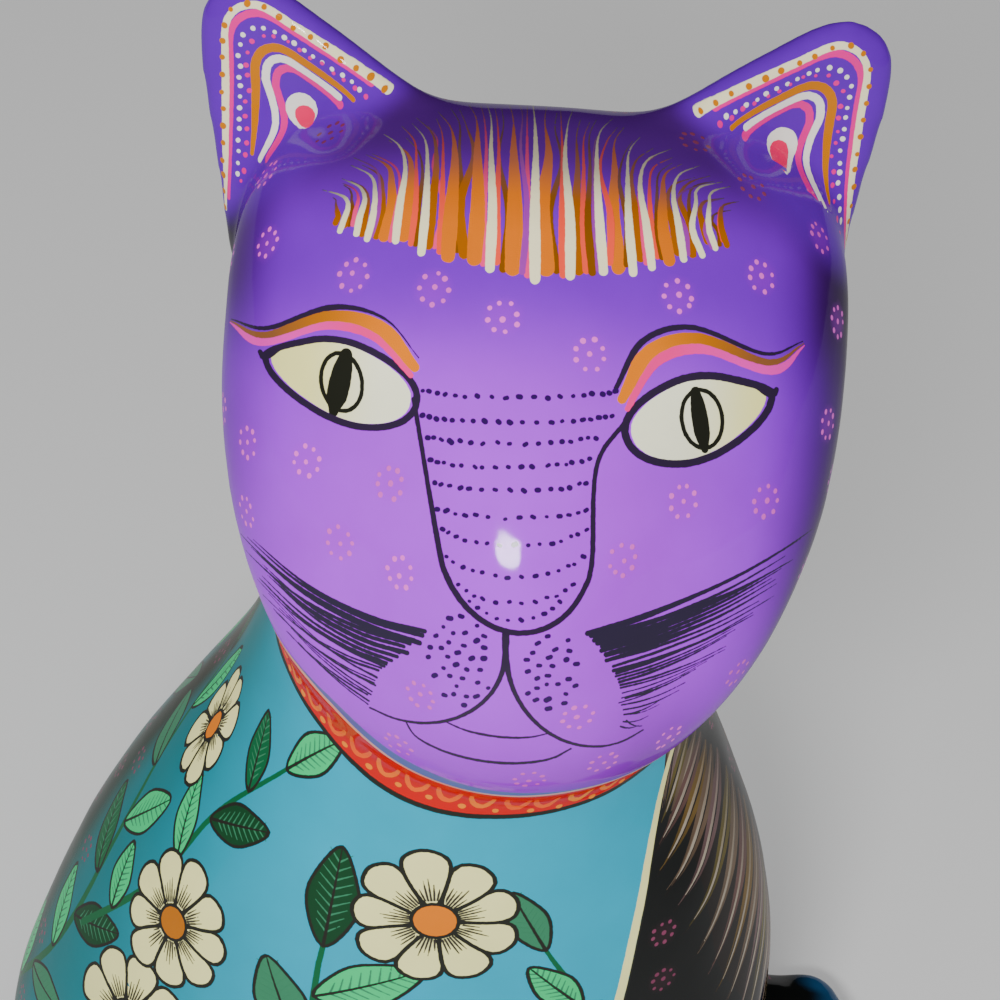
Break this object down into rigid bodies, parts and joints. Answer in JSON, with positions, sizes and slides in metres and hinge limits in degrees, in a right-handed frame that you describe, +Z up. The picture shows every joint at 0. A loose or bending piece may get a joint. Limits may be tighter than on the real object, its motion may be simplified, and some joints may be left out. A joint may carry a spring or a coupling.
{
  "type": "pottery cat sculpture",
  "caption": "Seated pottery cat ornament, moulded in one piece, body in profile and head turned to the side, painted all over and varnished.",
  "frame": {"origin": "middle of the cat's bounding box, on the surface that it stands on", "axes": "+Z up, +X the way the cat's body points, -Y the way its turned face looks"},
  "size_m": [0.229, 0.1496, 0.3145],
  "materials": {
    "painted_pottery": "bright hand painting under a glossy clear varnish"
  },
  "bodies": {
    "root": {"pottery_cat": "painted_pottery"}
  },
  "joints": []
}
